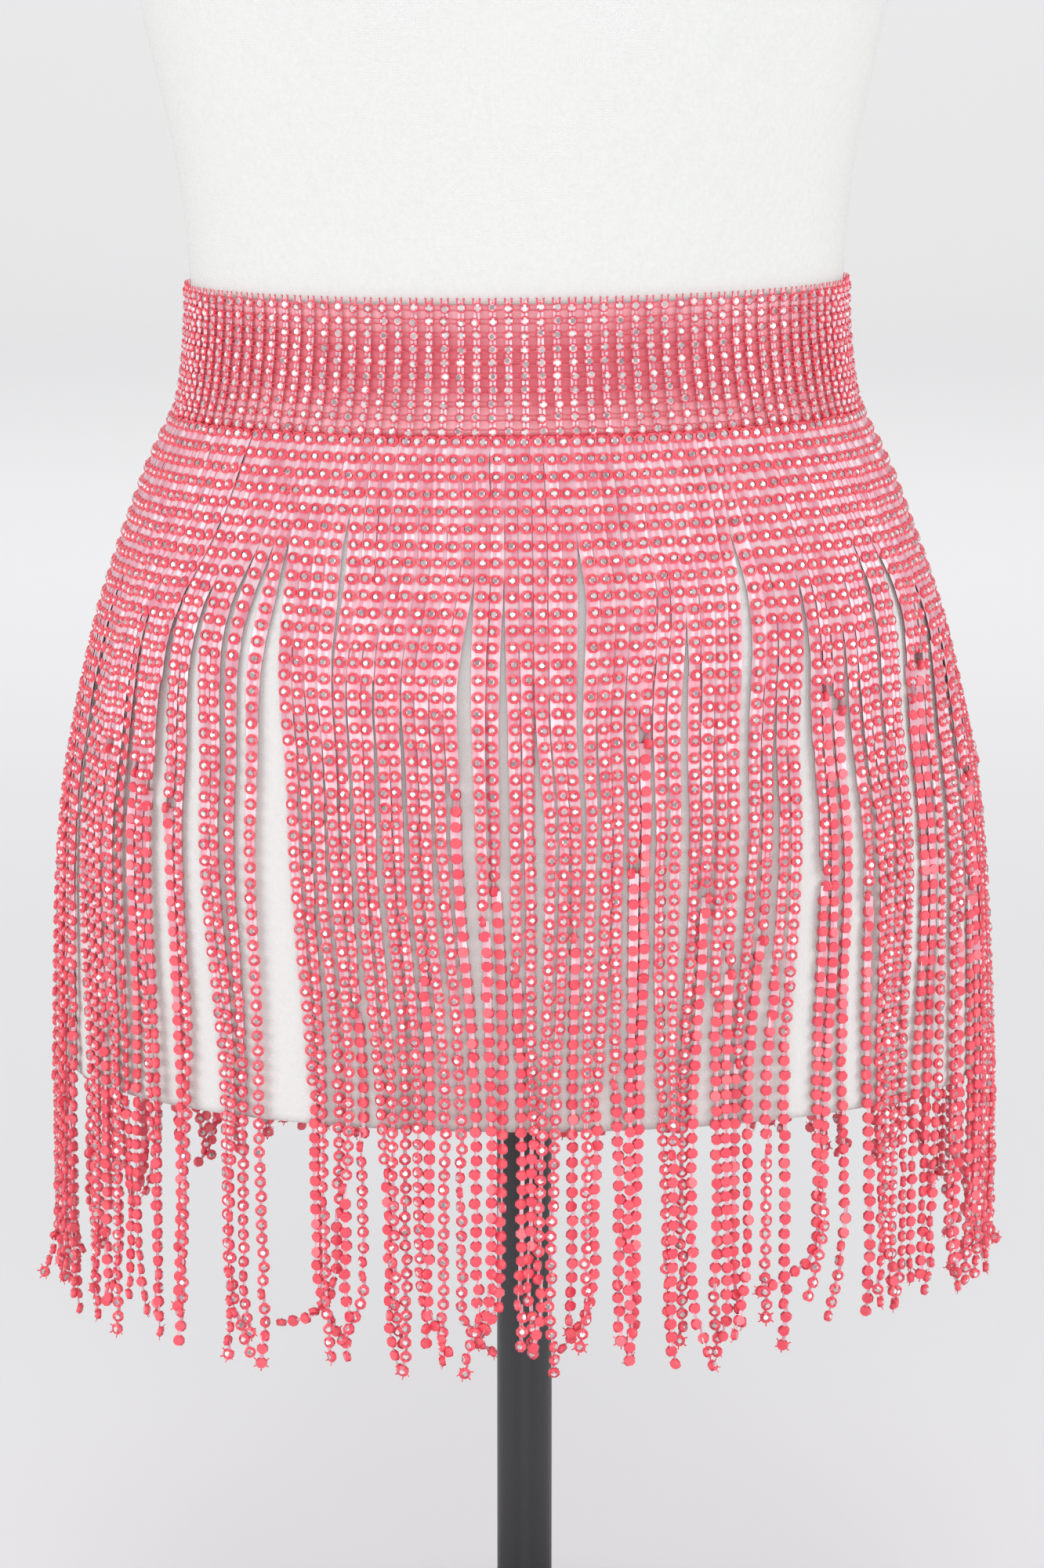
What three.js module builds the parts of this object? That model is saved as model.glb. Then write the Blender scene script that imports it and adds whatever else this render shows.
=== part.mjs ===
// Rhinestone fringe belt worn by a limbless dress form on a round stand.
// Millimetres, +Z up, the wearer's front towards -Y and the form's left side, as seen, towards -X.
// The origin is on the table, under the middle of the round base.
import * as THREE from 'three';

// Heights, and the form's slight lean towards -X, with which the belt on it rises towards +X.
const BELT_TOP = 600;
const FORM_LEAN = 0.01;

// Waistband: a mesh of stones in square settings, one stone thick.
const BAND_DEPTH = 48;
const BAND_THICKNESS = 3;
const BAND_CLEARANCE = 0.6;
const BAND_COLUMNS = 96;
const BAND_LEVELS = [0, 15, 36, BAND_DEPTH];

// Fringe: strands of single stones, fused at their roots into a narrow heading.
const SEAM_GAP = 0.3;
const HEADING_DEPTH = 5;
const STRAND_PITCH = 4.85;
const STRAND_WIDTH = 3.6;
const STRAND_TIP_WIDTH = 2.6;
const STRAND_THICKNESS = 2.8;
const STRAND_CLEARANCE = 2.2;
const STRAND_LEVELS = [64, 90, 125, 175, 250];
const HEM_DROP = 392;
const BACK_HEM_DROP = 367;
const BACK_HEM_REACH = [0.5, 0.75];
const HEM_VARIATION = 8;
const SHORT_RISE = 9;
const SHORT_REACH = [92, 102];
const SHORT_END = [110, 124];
const TIP_SWAY = 2.5;
const SWAY_WAVE = 0.7;
const SWAY_START = 205;

// The panels of the fringe, from the middle of the back round by -X, and the strands in each.
const PANELS = [
  { name: 'fringe_back_left', strands: 26 },
  { name: 'fringe_side_left', strands: 26 },
  { name: 'fringe_front_left', strands: 24 },
  { name: 'fringe_front_right', strands: 32 },
  { name: 'fringe_side_right', strands: 24 },
  { name: 'fringe_back_right', strands: 24 },
];

// Partings: where strands cling in groups and the form shows between the groups. In the table,
// before is the strand just after the parting, and opens, full and closes are drops below the
// belt's top edge. A parting that stays open closes at a drop below every tip.
const STAYS_OPEN = 999;
const PARTING_COLUMNS = ['before', 'opens', 'full', 'width', 'closes'];
const FRONT_PARTINGS = [
  [50, 150, 180, 2, 300],
  [56, 95, 200, 8, STAYS_OPEN],
  [58, 80, 190, 10, STAYS_OPEN],
  [60, 75, 115, 3, 260],
  [61, 80, 120, 5, 300],
  [62, 70, 200, 19, STAYS_OPEN],
  [66, 65, 95, 3, 190],
  [75, 90, 150, 7, 300],
  [77, 90, 155, 3.5, 280],
  [79, 145, 195, 4, 300],
  [82, 80, 110, 3, 230],
  [89, 100, 160, 4, 310],
  [93, 65, 130, 5, 300],
  [95, 150, 210, 3, STAYS_OPEN],
  [97, 80, 230, 13, STAYS_OPEN],
  [100, 95, 230, 7.5, STAYS_OPEN],
  [103, 75, 120, 3, 260],
  [105, 75, 130, 6.5, 380],
  [108, 90, 150, 7, STAYS_OPEN],
  [110, 110, 180, 8, STAYS_OPEN],
];
const PARTING_FADE = 120;

// Strands beyond these have partings too, scattered over the sides and the back.
const FRONT_REACH = [48, 112];
const PARTING_SHARE = 0.36;
const BACK_OPENS = [75, 135];
const BACK_OPENING = 90;
const BACK_WIDTH = [2, 9];

// Slack that every gap between strands gets below the heading, and each seam at the heading.
const EVEN_SPREAD = 0.5;
const SEAM_SPREAD = 3;
const SPREAD_REACH = [48, 75];

// Slide clasp at the middle of the back, in plan: s along the belt, n out from the form.
const CLASP_EDGE = 3.5;
const SOCKET_OUTLINE = [
  [-3.2, 0.6], [1.4, 0.6], [1.4, 1.9], [0.6, 1.9], [0.6, 1.4], [-2.2, 1.4],
  [-2.2, 3.6], [0.6, 3.6], [0.6, 3.1], [1.4, 3.1], [1.4, 4.4], [-3.2, 4.4],
];
const TONGUE_OUTLINE = [
  [-1.9, 1.7], [0.3, 1.7], [0.3, 2.2], [1.8, 2.2], [1.8, 0.6], [3.2, 0.6],
  [3.2, 4.4], [1.8, 4.4], [1.8, 2.8], [0.3, 2.8], [0.3, 3.3], [-1.9, 3.3],
];

// The form: half width, and depth to the front and to the back, at drops below the belt's top edge.
const FORM_COLUMNS = ['drop', 'halfWidth', 'front', 'back'];
const FORM_TABLE = [
  [-400, 53, 55, 53],
  [-352, 57, 58, 57],
  [-335, 84, 70, 70],
  [-312, 128, 86, 86],
  [-285, 160, 98, 96],
  [-250, 170, 110, 102],
  [-205, 163, 122, 106],
  [-155, 152, 122, 106],
  [-107, 142.2, 113, 104],
  [-69, 134.1, 105.5, 101],
  [-35, 128, 99.5, 98],
  [0, 125.2, 96, 95.5],
  [15, 125.4, 96.3, 96.5],
  [36, 127.6, 98.8, 100.8],
  [48, 130.4, 101, 104.5],
  [54, 133.2, 102.3, 107],
  [60, 136.6, 104, 110],
  [71, 141.8, 106.8, 114.4],
  [84, 146.8, 109.5, 118],
  [108, 155.6, 113.5, 123.2],
  [135, 163.8, 117, 127.5],
  [190, 175, 121.5, 131],
  [240, 179.6, 123.6, 131],
  [305, 182, 124, 129],
];
const FORM_BOTTOM = 305;
const FORM_SEGMENTS = 48;

// Pole and round base.
const POLE_RADIUS = 11;
const POLE_INSERT = 60;
const SOCKET_CLEARANCE = 0.3;
const BASE_RADIUS = 190;
const BASE_THICKNESS = 8;
const BASE_EDGE_RADIUS = 3;
const BOSS_RADIUS = 19;
const BOSS_TOP = 26;
const SOCKET_FLOOR = 4;
const ROUND_SEGMENTS = 48;

const ARC_STEPS = 240;
const STRAND_COUNT = PANELS.reduce((sum, panel) => sum + panel.strands, 0);
const HALF_COUNT = STRAND_COUNT / 2;

const LACQUER = { color: 0xdf8a96, roughness: 0.35, metalness: 0.4 };
const LINEN = { color: 0xece9e4, roughness: 0.9, metalness: 0 };
const BLACK_PAINT = { color: 0x2c2c2f, roughness: 0.45, metalness: 0.2 };

const SCATTER_STEP = 12.9898;
const SCATTER_SHIFT = 78.233;
const SCATTER_GAIN = 43758.5453;

// Repeatable scatter between 0 and 1 for strand or parting number n.
function scatter(n, channel) {
  const wave = Math.sin(n * SCATTER_STEP + channel * SCATTER_SHIFT) * SCATTER_GAIN;
  return wave - Math.floor(wave);
}

// The channels of that scatter: one for each thing that varies from strand to strand.
const HAS_PARTING = 1;
const PARTING_WIDE = 2;
const PARTING_OPENS = 3;
const TIP_LENGTH = 4;

function between([from, to], t) {
  return from + (to - from) * t;
}

function smoothStep(from, to, value) {
  const t = Math.min(1, Math.max(0, (value - from) / (to - from)));
  return t * t * (3 - 2 * t);
}

function namedRows(columns, rows) {
  return rows.map((row) => Object.fromEntries(columns.map((name, i) => [name, row[i]])));
}

const formRows = namedRows(FORM_COLUMNS, FORM_TABLE);

// Slope of a column at a row, for a smooth curve through the table.
function slopeAt(i, column) {
  const before = formRows[Math.max(0, i - 1)];
  const after = formRows[Math.min(formRows.length - 1, i + 1)];
  return (after[column] - before[column]) / (after.drop - before.drop);
}

// Half width, front and back depth of the form at any drop; below its lower edge they stay the same.
function sectionAt(drop) {
  const d = Math.min(FORM_BOTTOM, Math.max(formRows[0].drop, drop));
  let k = 0;
  while (k < formRows.length - 2 && formRows[k + 1].drop <= d) k += 1;
  const low = formRows[k];
  const high = formRows[k + 1];
  const span = high.drop - low.drop;
  const t = (d - low.drop) / span;
  const section = {};
  for (const column of FORM_COLUMNS.slice(1)) {
    const startSlope = slopeAt(k, column) * span;
    const endSlope = slopeAt(k + 1, column) * span;
    section[column] = low[column] * (1 + 2 * t) * (1 - t) ** 2 + startSlope * t * (1 - t) ** 2
      + high[column] * t * t * (3 - 2 * t) + endSlope * t * t * (t - 1);
  }
  return section;
}

// A point of the section at an angle: 0 is the front, -90 degrees is -X, and 180 is the back.
function sectionPoint(section, angle) {
  const depth = Math.cos(angle) > 0 ? section.front : section.back;
  const x = section.halfWidth * Math.sin(angle);
  const y = -depth * Math.cos(angle);
  const normal = new THREE.Vector2(x / section.halfWidth ** 2, y / depth ** 2).normalize();
  return { x, y, normal };
}

// How far the form's middle has moved along X at a drop; it stands upright on its lower edge.
function leanAt(drop) {
  return -FORM_LEAN * Math.max(0, FORM_BOTTOM - drop);
}

// Running length round the section from the middle of the back, by -X, the front and +X.
function arcLengths(section) {
  const lengths = [0];
  let last = sectionPoint(section, -Math.PI);
  for (let i = 1; i <= ARC_STEPS; i += 1) {
    const next = sectionPoint(section, -Math.PI + (2 * Math.PI * i) / ARC_STEPS);
    lengths.push(lengths[i - 1] + Math.hypot(next.x - last.x, next.y - last.y));
    last = next;
  }
  return lengths;
}

function girth(drop, outward) {
  return arcLengths(sectionAt(drop))[ARC_STEPS] + 2 * Math.PI * outward;
}

// The point at a share of the way round, at a drop below the belt's edge.
function aroundForm(share, drop) {
  const locate = (level) => {
    const section = sectionAt(level);
    const lengths = arcLengths(section);
    const target = Math.min(1, Math.max(0, share)) * lengths[ARC_STEPS];
    const i = Math.max(1, lengths.findIndex((length) => length >= target));
    const part = (target - lengths[i - 1]) / (lengths[i] - lengths[i - 1]);
    return sectionPoint(section, -Math.PI + (2 * Math.PI * (i - 1 + part)) / ARC_STEPS);
  };
  const rise = FORM_LEAN * locate(drop).x;
  const { x, y, normal } = locate(drop - rise);
  return { x: x + leanAt(drop), y, z: BELT_TOP - drop + rise, normal };
}

// The same point moved along the belt and out from the form.
function onForm(share, drop, along, outward) {
  const { x, y, z, normal } = aroundForm(share, drop);
  const right = new THREE.Vector2(-normal.y, normal.x);
  return new THREE.Vector3(
    x + right.x * along + normal.x * outward,
    y + right.y * along + normal.y * outward,
    z,
  );
}

const frontPartings = namedRows(PARTING_COLUMNS, FRONT_PARTINGS);

// The strands just after the panels' ends.
const seamStrands = [0];
for (const panel of PANELS) seamStrands.push(seamStrands[seamStrands.length - 1] + panel.strands);

// How wide a parting wants to be at a drop, before all of them share the slack. The strands leave
// each panel at an even pitch, so that the slack at the heading lies at the seams.
function partingWidth(before, drop) {
  const free = smoothStep(...SPREAD_REACH, drop);
  const even = EVEN_SPREAD * free + (seamStrands.includes(before) ? SEAM_SPREAD * (1 - free) : 0);
  let parting = frontPartings.find((row) => row.before === before);
  const beyondFront = before < FRONT_REACH[0] || before > FRONT_REACH[1];
  if (!parting && beyondFront && scatter(before, HAS_PARTING) < PARTING_SHARE) {
    const opens = between(BACK_OPENS, scatter(before, PARTING_OPENS));
    const width = between(BACK_WIDTH, scatter(before, PARTING_WIDE) ** 2);
    parting = { opens, full: opens + BACK_OPENING, width, closes: STAYS_OPEN };
  }
  if (!parting) return even;
  const open = smoothStep(parting.opens, parting.full, drop);
  const shut = smoothStep(parting.closes - PARTING_FADE, parting.closes, drop);
  return even + parting.width * open * (1 - shut);
}

// Where each strand's middle lies at a drop, as shares of the way round.
function strandShares(drop) {
  const around = girth(drop, STRAND_CLEARANCE + STRAND_THICKNESS / 2);
  const pitch = Math.min(STRAND_PITCH, around / STRAND_COUNT);
  const slack = around / 2 - HALF_COUNT * pitch;
  const shares = [];
  for (const side of [-1, 1]) {
    const partingOf = (k) => (side < 0 ? k : STRAND_COUNT - k);
    let total = partingWidth(HALF_COUNT, drop) / 2;
    for (let k = 0; k < HALF_COUNT; k += 1) total += partingWidth(partingOf(k), drop);
    let taken = 0;
    for (let k = 0; k < HALF_COUNT; k += 1) {
      taken += partingWidth(partingOf(k), drop);
      const run = (k + 0.5) * pitch + (slack * taken) / total;
      const strand = side < 0 ? k : STRAND_COUNT - 1 - k;
      shares[strand] = side < 0 ? run / around : 1 - run / around;
    }
  }
  return shares;
}

// The drop of a strand's tip: those at the back and a few towards +X are a little shorter.
function tipDrop(strand) {
  const round = Math.abs(strand + 0.5 - HALF_COUNT) / HALF_COUNT;
  const hem = between([HEM_DROP, BACK_HEM_DROP], smoothStep(...BACK_HEM_REACH, round));
  const short = smoothStep(...SHORT_REACH, strand) - smoothStep(...SHORT_END, strand);
  return hem - SHORT_RISE * short + HEM_VARIATION * (2 * scatter(strand, TIP_LENGTH) - 1);
}

// Collects corners and faces of one closed piece; corners wind anticlockwise seen from outside.
class Skin {
  constructor() {
    this.corners = [];
    this.faces = [];
  }

  corner(point) {
    this.corners.push(point.x, point.y, point.z);
    return this.corners.length / 3 - 1;
  }

  quad(a, b, c, d) {
    this.faces.push(a, b, c, a, c, d);
  }

  triangle(a, b, c) {
    this.faces.push(a, b, c);
  }

  geometry() {
    const geometry = new THREE.BufferGeometry();
    geometry.setAttribute('position', new THREE.Float32BufferAttribute(this.corners, 3));
    geometry.setIndex(this.faces);
    return geometry;
  }
}

function namedMesh(name, geometry, finish) {
  geometry.computeVertexNormals();
  const mesh = new THREE.Mesh(geometry, new THREE.MeshStandardMaterial(finish));
  mesh.name = name;
  return mesh;
}

// A bent wall: rows of corners on its outer and inner face, from the back round by -X.
function waistband() {
  const skin = new Skin();
  const outer = [];
  const inner = [];
  for (const level of BAND_LEVELS) {
    const around = girth(level, BAND_CLEARANCE + BAND_THICKNESS / 2);
    const start = CLASP_EDGE / around;
    const outerRow = [];
    const innerRow = [];
    for (let i = 0; i <= BAND_COLUMNS; i += 1) {
      const share = start + ((1 - 2 * start) * i) / BAND_COLUMNS;
      outerRow.push(skin.corner(onForm(share, level, 0, BAND_CLEARANCE + BAND_THICKNESS)));
      innerRow.push(skin.corner(onForm(share, level, 0, BAND_CLEARANCE)));
    }
    outer.push(outerRow);
    inner.push(innerRow);
  }
  const last = BAND_LEVELS.length - 1;
  for (let j = 0; j < last; j += 1) {
    for (let i = 0; i < BAND_COLUMNS; i += 1) {
      skin.quad(outer[j + 1][i], outer[j + 1][i + 1], outer[j][i + 1], outer[j][i]);
      skin.quad(inner[j][i], inner[j][i + 1], inner[j + 1][i + 1], inner[j + 1][i]);
    }
    skin.quad(outer[j][0], inner[j][0], inner[j + 1][0], outer[j + 1][0]);
    const n = BAND_COLUMNS;
    skin.quad(outer[j + 1][n], inner[j + 1][n], inner[j][n], outer[j][n]);
  }
  for (let i = 0; i < BAND_COLUMNS; i += 1) {
    skin.quad(outer[0][i], outer[0][i + 1], inner[0][i + 1], inner[0][i]);
    skin.quad(inner[last][i], inner[last][i + 1], outer[last][i + 1], outer[last][i]);
  }
  return namedMesh('waistband', skin.geometry(), LACQUER);
}

// One panel: a narrow heading with its strands hanging from it, all one piece like a comb.
function fringePanel(name, first, count) {
  const skin = new Skin();
  const top = BAND_DEPTH + SEAM_GAP;
  const bottom = top + HEADING_DEPTH;
  const topShares = strandShares(top);
  const bottomShares = strandShares(bottom);
  const half = STRAND_WIDTH / 2;
  const endReach = STRAND_PITCH / 2 - SEAM_GAP;

  // Four corners of the heading at each side of each strand: top and bottom, outer and inner.
  const headingColumn = (strand, along) => {
    const outward = BAND_CLEARANCE + BAND_THICKNESS;
    return {
      topOuter: skin.corner(onForm(topShares[strand], top, along, outward)),
      topInner: skin.corner(onForm(topShares[strand], top, along, BAND_CLEARANCE)),
      lowOuter: skin.corner(onForm(bottomShares[strand], bottom, along, outward)),
      lowInner: skin.corner(onForm(bottomShares[strand], bottom, along, BAND_CLEARANCE)),
    };
  };
  const columns = [headingColumn(first, -endReach)];
  for (let i = 0; i < count; i += 1) {
    columns.push(headingColumn(first + i, -half), headingColumn(first + i, half));
  }
  columns.push(headingColumn(first + count - 1, endReach));
  for (let i = 0; i + 1 < columns.length; i += 1) {
    const a = columns[i];
    const b = columns[i + 1];
    skin.quad(a.lowOuter, b.lowOuter, b.topOuter, a.topOuter);
    skin.quad(a.topInner, b.topInner, b.lowInner, a.lowInner);
    skin.quad(a.topOuter, b.topOuter, b.topInner, a.topInner);
    const underStrand = i % 2 === 1;
    if (!underStrand) skin.quad(a.lowInner, b.lowInner, b.lowOuter, a.lowOuter);
  }
  const left = columns[0];
  const right = columns[columns.length - 1];
  skin.quad(left.topOuter, left.topInner, left.lowInner, left.lowOuter);
  skin.quad(right.lowOuter, right.lowInner, right.topInner, right.topOuter);

  // Each strand goes on from the four lower corners of its stretch of the heading.
  for (let i = 0; i < count; i += 1) {
    const strand = first + i;
    const a = columns[1 + 2 * i];
    const b = columns[2 + 2 * i];
    const tip = tipDrop(strand);
    const levels = [...STRAND_LEVELS, tip];
    let ring = [a.lowOuter, b.lowOuter, b.lowInner, a.lowInner];
    for (const level of levels) {
      const share = strandShares(level)[strand];
      const fall = smoothStep(SWAY_START, HEM_DROP, level);
      const sway = TIP_SWAY * fall * (1 + Math.sin(strand * SWAY_WAVE)) / 2;
      const width = (level === tip ? STRAND_TIP_WIDTH : STRAND_WIDTH) / 2;
      const inside = STRAND_CLEARANCE;
      const outside = STRAND_CLEARANCE + STRAND_THICKNESS;
      const next = [[-width, outside], [width, outside], [width, inside], [-width, inside]]
        .map(([along, outward]) => skin.corner(onForm(share, level, along, outward + sway)));
      for (let k = 0; k < 4; k += 1) {
        const m = (k + 1) % 4;
        skin.quad(ring[k], next[k], next[m], ring[m]);
      }
      ring = next;
    }
    skin.quad(ring[0], ring[3], ring[2], ring[1]);
  }
  return namedMesh(name, skin.geometry(), LACQUER);
}

// Half of the slide clasp: its outline in plan, drawn out down the back of the waistband.
function claspHalf(name, outline) {
  const skin = new Skin();
  const rings = BAND_LEVELS.map((level) => outline.map(([s, n]) => skin.corner(onForm(0, level, s, n))));
  const count = outline.length;
  for (let j = 0; j + 1 < rings.length; j += 1) {
    for (let i = 0; i < count; i += 1) {
      const m = (i + 1) % count;
      skin.quad(rings[j][i], rings[j][m], rings[j + 1][m], rings[j + 1][i]);
    }
  }
  const contour = outline.map(([s, n]) => new THREE.Vector2(s, n));
  for (const [a, b, c] of THREE.ShapeUtils.triangulateShape(contour, [])) {
    skin.triangle(rings[0][c], rings[0][b], rings[0][a]);
    const low = rings[rings.length - 1];
    skin.triangle(low[a], low[b], low[c]);
  }
  return namedMesh(name, skin.geometry(), LACQUER);
}

// The limbless form: rings down its outside, then up the hole that the pole goes into.
function form() {
  const skin = new Skin();
  const ringAt = (z, pointAt) => {
    const ring = [];
    for (let i = 0; i < FORM_SEGMENTS; i += 1) {
      const { x, y } = pointAt(-Math.PI + (2 * Math.PI * i) / FORM_SEGMENTS);
      ring.push(skin.corner(new THREE.Vector3(x, y, z)));
    }
    return ring;
  };
  const holeRadius = POLE_RADIUS + SOCKET_CLEARANCE;
  const inHole = (angle) => ({ x: holeRadius * Math.sin(angle), y: -holeRadius * Math.cos(angle) });
  const rings = formRows.map((row) => ringAt(BELT_TOP - row.drop, (angle) => {
    const { x, y } = sectionPoint(row, angle);
    return { x: x + leanAt(row.drop), y };
  }));
  const bottom = BELT_TOP - FORM_BOTTOM;
  rings.push(ringAt(bottom, inHole));
  rings.push(ringAt(bottom + POLE_INSERT, inHole));
  for (let j = 0; j + 1 < rings.length; j += 1) {
    for (let i = 0; i < FORM_SEGMENTS; i += 1) {
      const m = (i + 1) % FORM_SEGMENTS;
      skin.quad(rings[j + 1][i], rings[j + 1][m], rings[j][m], rings[j][i]);
    }
  }
  const neck = rings[0];
  const roof = rings[rings.length - 1];
  const neckDrop = formRows[0].drop;
  const neckMiddle = skin.corner(new THREE.Vector3(leanAt(neckDrop), 0, BELT_TOP - neckDrop));
  const roofMiddle = skin.corner(new THREE.Vector3(0, 0, bottom + POLE_INSERT));
  for (let i = 0; i < FORM_SEGMENTS; i += 1) {
    const m = (i + 1) % FORM_SEGMENTS;
    skin.triangle(neck[i], neck[m], neckMiddle);
    skin.triangle(roof[m], roof[i], roofMiddle);
  }
  return namedMesh('form_torso', skin.geometry(), LINEN);
}

function pole() {
  const lower = SOCKET_FLOOR + SOCKET_CLEARANCE;
  const upper = BELT_TOP - FORM_BOTTOM + POLE_INSERT - SOCKET_CLEARANCE;
  const geometry = new THREE.CylinderGeometry(POLE_RADIUS, POLE_RADIUS, upper - lower, FORM_SEGMENTS);
  geometry.rotateX(Math.PI / 2);
  geometry.translate(0, 0, (upper + lower) / 2);
  return namedMesh('pole', geometry, BLACK_PAINT);
}

// A disc with an eased upper edge and a boss whose blind hole holds the pole.
function base() {
  const hole = POLE_RADIUS + SOCKET_CLEARANCE;
  const ease = BASE_THICKNESS - BASE_EDGE_RADIUS;
  const halfway = BASE_EDGE_RADIUS * Math.SQRT1_2;
  const profile = [
    [0, 0],
    [BASE_RADIUS, 0],
    [BASE_RADIUS, ease],
    [BASE_RADIUS - BASE_EDGE_RADIUS + halfway, ease + halfway],
    [BASE_RADIUS - BASE_EDGE_RADIUS, BASE_THICKNESS],
    [BOSS_RADIUS, BASE_THICKNESS],
    [BOSS_RADIUS, BOSS_TOP],
    [hole, BOSS_TOP],
    [hole, SOCKET_FLOOR],
    [0, SOCKET_FLOOR],
  ].map(([r, z]) => new THREE.Vector2(r, z));
  const geometry = new THREE.LatheGeometry(profile, ROUND_SEGMENTS);
  geometry.rotateX(Math.PI / 2);
  return namedMesh('base', geometry, BLACK_PAINT);
}

const object = new THREE.Group();
object.name = 'rhinestone_fringe_belt_on_form';

const belt = new THREE.Group();
belt.add(waistband());
let firstStrand = 0;
for (const panel of PANELS) {
  belt.add(fringePanel(panel.name, firstStrand, panel.strands));
  firstStrand += panel.strands;
}
belt.add(claspHalf('clasp_socket', SOCKET_OUTLINE));
belt.add(claspHalf('clasp_tongue', TONGUE_OUTLINE));

const stand = new THREE.Group();
stand.add(form(), pole(), base());

object.add(belt, stand);

export default object;
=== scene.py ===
import math

import bpy
import numpy as np
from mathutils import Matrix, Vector


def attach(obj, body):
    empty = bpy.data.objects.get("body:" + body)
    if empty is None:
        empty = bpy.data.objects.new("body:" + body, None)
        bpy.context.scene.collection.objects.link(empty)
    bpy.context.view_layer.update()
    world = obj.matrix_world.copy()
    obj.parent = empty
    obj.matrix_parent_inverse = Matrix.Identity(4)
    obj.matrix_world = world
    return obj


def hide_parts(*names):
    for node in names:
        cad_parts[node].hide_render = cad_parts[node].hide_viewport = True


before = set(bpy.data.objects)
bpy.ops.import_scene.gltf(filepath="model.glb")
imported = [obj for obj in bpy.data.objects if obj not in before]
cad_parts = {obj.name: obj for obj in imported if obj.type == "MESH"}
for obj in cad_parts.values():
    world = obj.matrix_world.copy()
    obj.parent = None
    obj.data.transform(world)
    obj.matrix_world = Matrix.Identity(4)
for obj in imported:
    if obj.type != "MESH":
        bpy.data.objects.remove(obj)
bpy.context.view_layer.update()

# Dress form
# A limbless torso of moulded foam with a fitted cover of plain cream linen, pulled smooth and
# turned under at the lower edge. Its waist is the narrowest place, just under the belt's top.
MM = 0.001
BELT_TOP = 600.0
FORM_LEAN = 0.01
FORM_BOTTOM = 305.0
FORM_EDGE_RADIUS = 4.0
FORM_EDGE_TURNS = (30, 60, 90)
FORM_AROUND = 144
POLE_HOLE = 11.3
POLE_HOLE_DEPTH = 60
# drop below the belt's top edge, half width, depth to the front, depth to the back
FORM_TABLE = np.array([
    (-400, 53, 55, 53),
    (-352, 57, 58, 57),
    (-335, 84, 70, 70),
    (-312, 128, 86, 86),
    (-285, 160, 98, 96),
    (-250, 170, 110, 102),
    (-205, 163, 122, 106),
    (-155, 152, 122, 106),
    (-107, 142.2, 113, 104),
    (-69, 134.1, 105.5, 101),
    (-35, 128, 99.5, 98),
    (0, 125.2, 96, 95.5),
    (15, 125.4, 96.3, 96.5),
    (36, 127.6, 98.8, 100.8),
    (48, 130.4, 101, 104.5),
    (54, 133.2, 102.3, 107),
    (60, 136.6, 104, 110),
    (71, 141.8, 106.8, 114.4),
    (84, 146.8, 109.5, 118),
    (108, 155.6, 113.5, 123.2),
    (135, 163.8, 117, 127.5),
    (190, 175, 121.5, 131),
    (240, 179.6, 123.6, 131),
    (305, 182, 124, 129),
])
# stretches of the form between two drops, and the number of rings on each
FORM_RINGS = (
    (-400, -285, 26),
    (-285, 30, 40),
    (30, 120, 26),
    (120, FORM_BOTTOM - FORM_EDGE_RADIUS, 22),
)
LINEN_THREAD = 0.55
LINEN_CREAM = "E1E2E1"
LINEN_SHADE = "D2D3D1"
# metres from one band of a wave texture to the next where its scale is 1
WAVE_SPACING = 0.31


def linear(code):
    """An sRGB hex colour as the linear red, green, blue and alpha that shaders take."""
    parts = [int(code[i:i + 2], 16) / 255 for i in (0, 2, 4)]
    return [c / 12.92 if c <= 0.04045 else ((c + 0.055) / 1.055) ** 2.4 for c in parts] + [1.0]


def add_node(material, kind, settings=None, links=None):
    """One shader node with its settings, and its inputs linked from other nodes' outputs."""
    node = material.node_tree.nodes.new(kind)
    for name, value in (settings or {}).items():
        if name in node.inputs:
            node.inputs[name].default_value = value
        else:
            setattr(node, name, value)
    for name, (source, output) in (links or {}).items():
        material.node_tree.links.new(source.outputs[output], node.inputs[name])
    return node


def new_material(name, shader_settings):
    """A material with its shader and output in place, ready for the nodes that feed the shader."""
    material = bpy.data.materials.new(name)
    material.use_nodes = True
    material.node_tree.nodes.clear()
    shader = add_node(material, "ShaderNodeBsdfPrincipled", shader_settings)
    add_node(material, "ShaderNodeOutputMaterial", links={"Surface": (shader, "BSDF")})
    return material, shader


def feed(material, shader, socket, source, output):
    """Links a node's output to one of the shader's sockets."""
    material.node_tree.links.new(source.outputs[output], shader.inputs[socket])


def mesh_piece(name, corners, faces, material):
    """A smooth mesh object from corners in millimetres, riding on the one body of this object."""
    mesh = bpy.data.meshes.new(name)
    mesh.from_pydata((np.asarray(corners) * MM).tolist(), [], [list(map(int, f)) for f in faces])
    mesh.materials.append(material)
    mesh.polygons.foreach_set("use_smooth", np.full(len(mesh.polygons), True))
    mesh.update()
    piece = bpy.data.objects.new(name, mesh)
    bpy.context.scene.collection.objects.link(piece)
    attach(piece, "root")
    return piece


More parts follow.
